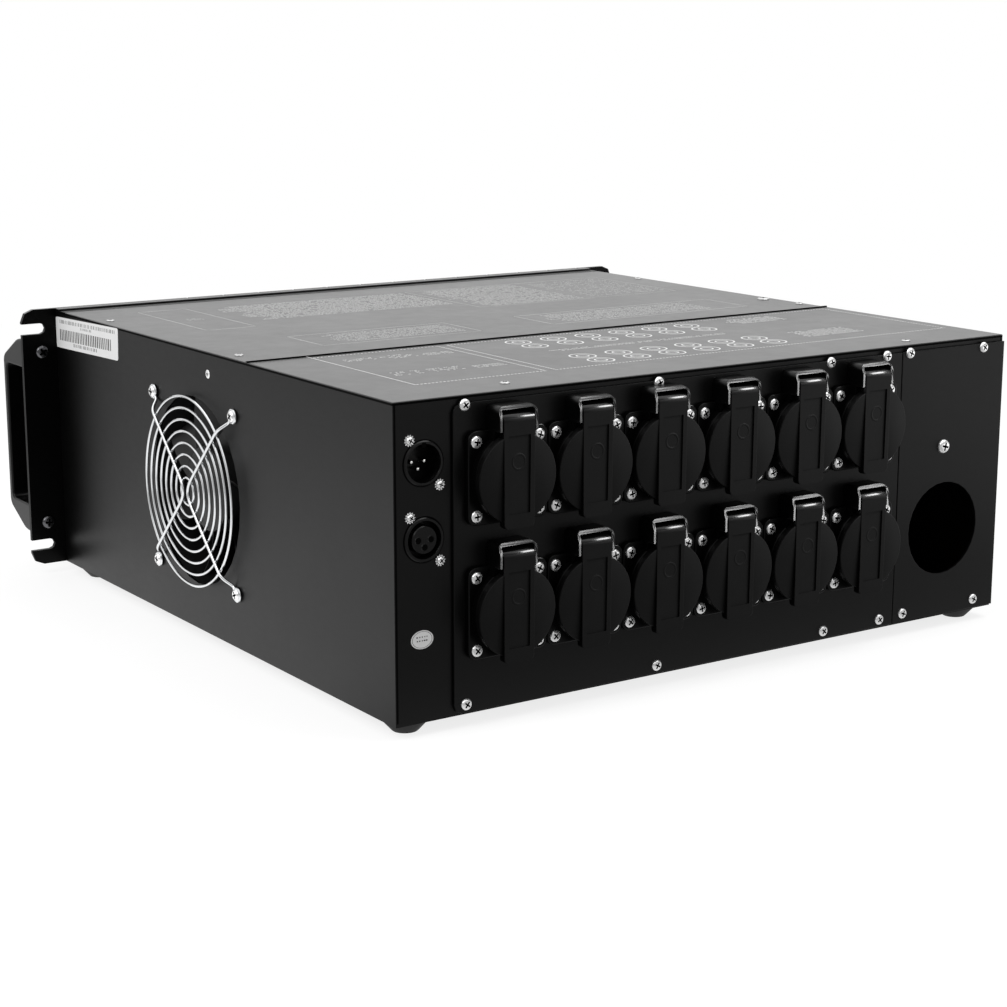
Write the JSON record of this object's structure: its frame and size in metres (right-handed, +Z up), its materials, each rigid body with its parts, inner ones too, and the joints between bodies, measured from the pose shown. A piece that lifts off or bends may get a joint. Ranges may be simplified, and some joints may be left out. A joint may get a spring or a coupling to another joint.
{
  "type": "dimmer pack",
  "caption": "Rack mount lighting dimmer pack with lidded mains outlets on its back, bow handles, a guarded side fan, breaker toggles and menu buttons.",
  "frame": {"origin": "under the middle of the whole part, level with the soles of the feet", "axes": "+Z up; the rack panel and its handles face -Y, the outlets face +Y and the fan is in the side at +X"},
  "size_m": [0.4826, 0.491, 0.1798],
  "materials": {
    "powder_coat": "black powder coat with a fine texture",
    "cover_coat": "satin black powder coat",
    "handle_coat": "black anodised look, satin",
    "outlet_plastic": "fine grained black plastic",
    "fan_plastic": "black glass filled plastic",
    "connector_black": "black plated die casting",
    "chrome_wire": "bright chrome plated wire",
    "bright_steel": "nickel plated screws, washers and contacts",
    "black_steel": "black oxide screws",
    "label_paper": "white label film with plain dark marks",
    "screen_print": "white screen print",
    "rubber": "moulded rubber",
    "breaker_plastic": "light grey plastic",
    "lever_plastic": "black plastic",
    "button_plastic": "grey plastic",
    "board": "lacquered circuit board",
    "heat_sink": "extruded aluminium"
  },
  "bodies": {
    "case": {"case_tray": "powder_coat", "front_top_cover": "cover_coat", "rear_top_cover": "cover_coat", "rack_panel": "powder_coat", "outlet_plate": "powder_coat", "terminal_cover": "powder_coat", "power_stage": "heat_sink", "handle_fan_side": "handle_coat", "foot_front_fan_side": "rubber", "foot_rear_fan_side": "rubber", "handle_far_side": "handle_coat", "foot_front_far_side": "rubber", "foot_rear_far_side": "rubber", "outlet_body_01": "outlet_plastic", "outlet_body_02": "outlet_plastic", "outlet_body_03": "outlet_plastic", "outlet_body_04": "outlet_plastic", "outlet_body_05": "outlet_plastic", "outlet_body_06": "outlet_plastic", "outlet_body_07": "outlet_plastic", "outlet_body_08": "outlet_plastic", "outlet_body_09": "outlet_plastic", "outlet_body_10": "outlet_plastic", "outlet_body_11": "outlet_plastic", "outlet_body_12": "outlet_plastic", "connector_male": "connector_black", "connector_female": "connector_black", "fan_frame": "fan_plastic", "fan_guard": "chrome_wire", "breaker_row": "breaker_plastic", "control_board": "board"},
    "lid_01": {"outlet_lid_01": "outlet_plastic"},
    "lid_02": {"outlet_lid_02": "outlet_plastic"},
    "lid_03": {"outlet_lid_03": "outlet_plastic"},
    "lid_04": {"outlet_lid_04": "outlet_plastic"},
    "lid_05": {"outlet_lid_05": "outlet_plastic"},
    "lid_06": {"outlet_lid_06": "outlet_plastic"},
    "lid_07": {"outlet_lid_07": "outlet_plastic"},
    "lid_08": {"outlet_lid_08": "outlet_plastic"},
    "lid_09": {"outlet_lid_09": "outlet_plastic"},
    "lid_10": {"outlet_lid_10": "outlet_plastic"},
    "lid_11": {"outlet_lid_11": "outlet_plastic"},
    "lid_12": {"outlet_lid_12": "outlet_plastic"},
    "rotor": {"fan_rotor": "fan_plastic"},
    "lever_01": {"breaker_lever_01": "lever_plastic"},
    "lever_02": {"breaker_lever_02": "lever_plastic"},
    "lever_03": {"breaker_lever_03": "lever_plastic"},
    "lever_04": {"breaker_lever_04": "lever_plastic"},
    "lever_05": {"breaker_lever_05": "lever_plastic"},
    "lever_06": {"breaker_lever_06": "lever_plastic"},
    "lever_07": {"breaker_lever_07": "lever_plastic"},
    "lever_08": {"breaker_lever_08": "lever_plastic"},
    "lever_09": {"breaker_lever_09": "lever_plastic"},
    "lever_10": {"breaker_lever_10": "lever_plastic"},
    "lever_11": {"breaker_lever_11": "lever_plastic"},
    "lever_12": {"breaker_lever_12": "lever_plastic"},
    "button_1": {"menu_button_1": "button_plastic"},
    "button_2": {"menu_button_2": "button_plastic"},
    "button_3": {"menu_button_3": "button_plastic"},
    "button_4": {"menu_button_4": "button_plastic"}
  },
  "joints": [
    {"name": "lid_01_hinge", "type": "hinge", "parent": "case", "child": "lid_01", "pos_m": [0.1507, 0.2393, 0.1645], "axis": [1, 0, 0], "range_deg": [0, 95], "stiffness_Nm_per_rad": 0.03, "springref_deg": -34.38},
    {"name": "lid_02_hinge", "type": "hinge", "parent": "case", "child": "lid_02", "pos_m": [0.1005, 0.2393, 0.1645], "axis": [1, 0, 0], "range_deg": [0, 95], "stiffness_Nm_per_rad": 0.03, "springref_deg": -34.38},
    {"name": "lid_03_hinge", "type": "hinge", "parent": "case", "child": "lid_03", "pos_m": [0.0503, 0.2393, 0.1645], "axis": [1, 0, 0], "range_deg": [0, 95], "stiffness_Nm_per_rad": 0.03, "springref_deg": -34.38},
    {"name": "lid_04_hinge", "type": "hinge", "parent": "case", "child": "lid_04", "pos_m": [0.0001, 0.2393, 0.1645], "axis": [1, 0, 0], "range_deg": [0, 95], "stiffness_Nm_per_rad": 0.03, "springref_deg": -34.38},
    {"name": "lid_05_hinge", "type": "hinge", "parent": "case", "child": "lid_05", "pos_m": [-0.0501, 0.2393, 0.1645], "axis": [1, 0, 0], "range_deg": [0, 95], "stiffness_Nm_per_rad": 0.03, "springref_deg": -34.38},
    {"name": "lid_06_hinge", "type": "hinge", "parent": "case", "child": "lid_06", "pos_m": [-0.1003, 0.2393, 0.1645], "axis": [1, 0, 0], "range_deg": [0, 95], "stiffness_Nm_per_rad": 0.03, "springref_deg": -34.38},
    {"name": "lid_07_hinge", "type": "hinge", "parent": "case", "child": "lid_07", "pos_m": [0.1507, 0.2393, 0.0925], "axis": [1, 0, 0], "range_deg": [0, 95], "stiffness_Nm_per_rad": 0.03, "springref_deg": -34.38},
    {"name": "lid_08_hinge", "type": "hinge", "parent": "case", "child": "lid_08", "pos_m": [0.1005, 0.2393, 0.0925], "axis": [1, 0, 0], "range_deg": [0, 95], "stiffness_Nm_per_rad": 0.03, "springref_deg": -34.38},
    {"name": "lid_09_hinge", "type": "hinge", "parent": "case", "child": "lid_09", "pos_m": [0.0503, 0.2393, 0.0925], "axis": [1, 0, 0], "range_deg": [0, 95], "stiffness_Nm_per_rad": 0.03, "springref_deg": -34.38},
    {"name": "lid_10_hinge", "type": "hinge", "parent": "case", "child": "lid_10", "pos_m": [0.0001, 0.2393, 0.0925], "axis": [1, 0, 0], "range_deg": [0, 95], "stiffness_Nm_per_rad": 0.03, "springref_deg": -34.38},
    {"name": "lid_11_hinge", "type": "hinge", "parent": "case", "child": "lid_11", "pos_m": [-0.0501, 0.2393, 0.0925], "axis": [1, 0, 0], "range_deg": [0, 95], "stiffness_Nm_per_rad": 0.03, "springref_deg": -34.38},
    {"name": "lid_12_hinge", "type": "hinge", "parent": "case", "child": "lid_12", "pos_m": [-0.1003, 0.2393, 0.0925], "axis": [1, 0, 0], "range_deg": [0, 95], "stiffness_Nm_per_rad": 0.03, "springref_deg": -34.38},
    {"name": "fan_spin", "type": "hinge", "parent": "case", "child": "rotor", "pos_m": [0.1975, 0.0025, 0.0928], "axis": [1, 0, 0], "continuous": true},
    {"name": "breaker_01_switch", "type": "hinge", "parent": "case", "child": "lever_01", "pos_m": [-0.1962, -0.2009, 0.0935], "axis": [-1, 0, 0], "range_deg": [0, 70]},
    {"name": "breaker_02_switch", "type": "hinge", "parent": "case", "child": "lever_02", "pos_m": [-0.1687, -0.2009, 0.0935], "axis": [-1, 0, 0], "range_deg": [0, 70]},
    {"name": "breaker_03_switch", "type": "hinge", "parent": "case", "child": "lever_03", "pos_m": [-0.1412, -0.2009, 0.0935], "axis": [-1, 0, 0], "range_deg": [0, 70]},
    {"name": "breaker_04_switch", "type": "hinge", "parent": "case", "child": "lever_04", "pos_m": [-0.1137, -0.2009, 0.0935], "axis": [-1, 0, 0], "range_deg": [0, 70]},
    {"name": "breaker_05_switch", "type": "hinge", "parent": "case", "child": "lever_05", "pos_m": [-0.0862, -0.2009, 0.0935], "axis": [-1, 0, 0], "range_deg": [0, 70]},
    {"name": "breaker_06_switch", "type": "hinge", "parent": "case", "child": "lever_06", "pos_m": [-0.0587, -0.2009, 0.0935], "axis": [-1, 0, 0], "range_deg": [0, 70]},
    {"name": "breaker_07_switch", "type": "hinge", "parent": "case", "child": "lever_07", "pos_m": [-0.0312, -0.2009, 0.0935], "axis": [-1, 0, 0], "range_deg": [0, 70]},
    {"name": "breaker_08_switch", "type": "hinge", "parent": "case", "child": "lever_08", "pos_m": [-0.0037, -0.2009, 0.0935], "axis": [-1, 0, 0], "range_deg": [0, 70]},
    {"name": "breaker_09_switch", "type": "hinge", "parent": "case", "child": "lever_09", "pos_m": [0.0238, -0.2009, 0.0935], "axis": [-1, 0, 0], "range_deg": [0, 70]},
    {"name": "breaker_10_switch", "type": "hinge", "parent": "case", "child": "lever_10", "pos_m": [0.0513, -0.2009, 0.0935], "axis": [-1, 0, 0], "range_deg": [0, 70]},
    {"name": "breaker_11_switch", "type": "hinge", "parent": "case", "child": "lever_11", "pos_m": [0.0788, -0.2009, 0.0935], "axis": [-1, 0, 0], "range_deg": [0, 70]},
    {"name": "breaker_12_switch", "type": "hinge", "parent": "case", "child": "lever_12", "pos_m": [0.1063, -0.2009, 0.0935], "axis": [-1, 0, 0], "range_deg": [0, 70]},
    {"name": "button_1_press", "type": "slide", "parent": "case", "child": "button_1", "axis": [0, 1, 0], "range_m": [0, 0.0015], "stiffness_N_per_m": 300, "springref_m": -0.001},
    {"name": "button_2_press", "type": "slide", "parent": "case", "child": "button_2", "axis": [0, 1, 0], "range_m": [0, 0.0015], "stiffness_N_per_m": 300, "springref_m": -0.001},
    {"name": "button_3_press", "type": "slide", "parent": "case", "child": "button_3", "axis": [0, 1, 0], "range_m": [0, 0.0015], "stiffness_N_per_m": 300, "springref_m": -0.001},
    {"name": "button_4_press", "type": "slide", "parent": "case", "child": "button_4", "axis": [0, 1, 0], "range_m": [0, 0.0015], "stiffness_N_per_m": 300, "springref_m": -0.001}
  ]
}
